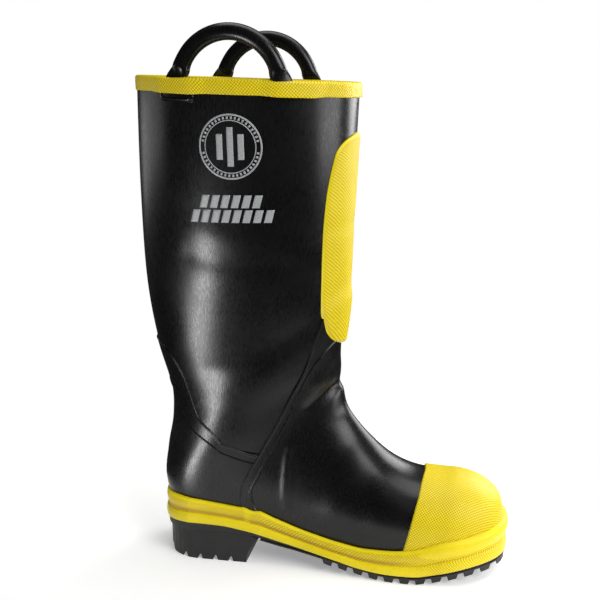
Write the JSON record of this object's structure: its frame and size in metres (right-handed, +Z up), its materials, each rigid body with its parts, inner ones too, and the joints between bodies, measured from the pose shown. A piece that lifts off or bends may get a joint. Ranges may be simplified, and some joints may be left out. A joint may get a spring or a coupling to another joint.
{
  "type": "fire boot",
  "caption": "Tall pull-on rubber fire boot with pull loops, a shin guard, a steel-capped toe, a foxed lugged sole and a heel block; right foot.",
  "frame": {"origin": "on the floor, below the middle of the boot's length and width", "axes": "+X towards the toe, -Y towards the outer side of the foot, +Z up the leg"},
  "size_m": [0.3128, 0.1368, 0.4457],
  "materials": {
    "upper_rubber": "satin vulcanised rubber",
    "yellow_rubber": "satin rubber with a fine diamond knurl",
    "tread_rubber": "matt nitrile rubber",
    "felt": "needled felt",
    "binding": "woven tape",
    "foam": "closed-cell foam",
    "steel": "plain",
    "board": "fibre board",
    "stiffener": "matt",
    "footbed_foam": "moulded foam"
  },
  "bodies": {
    "boot": {"leg_upper": "upper_rubber", "vamp_upper": "upper_rubber", "heel_counter": "upper_rubber", "side_strap_outer": "upper_rubber", "side_strap_inner": "upper_rubber", "back_strap": "upper_rubber", "collar_tape": "yellow_rubber", "lining_binding": "binding", "loop_anchor_outer": "upper_rubber", "loop_anchor_inner": "upper_rubber", "shin_guard": "yellow_rubber", "shin_foam": "foam", "toe_cover": "yellow_rubber", "steel_toe_cap": "steel", "toe_cap_strip": "stiffener", "vamp_insulation": "foam", "heel_stiffener": "stiffener", "vamp_lining": "felt", "heel_lining": "felt", "leg_lining": "felt", "foxing_band": "yellow_rubber", "foxing_bead": "yellow_rubber", "toe_bumper": "yellow_rubber", "outsole": "tread_rubber", "heel_block": "tread_rubber", "midsole_filler": "tread_rubber", "puncture_plate": "steel", "ladder_shank": "steel", "insole_board": "board", "footbed": "footbed_foam"},
    "outer_loop": {"pull_loop_outer": "upper_rubber"},
    "inner_loop": {"pull_loop_inner": "upper_rubber"}
  },
  "joints": [
    {"name": "outer_loop_bend", "type": "hinge", "parent": "boot", "child": "outer_loop", "pos_m": [-0.06348, -0.0605, 0.41437], "axis": [0.9994, 0, -0.0336], "range_deg": [-35, 45], "stiffness_Nm_per_rad": 0.15},
    {"name": "inner_loop_bend", "type": "hinge", "parent": "boot", "child": "inner_loop", "pos_m": [-0.06348, 0.0605, 0.41437], "axis": [-0.9994, 0, 0.0336], "range_deg": [-35, 45], "stiffness_Nm_per_rad": 0.15}
  ]
}
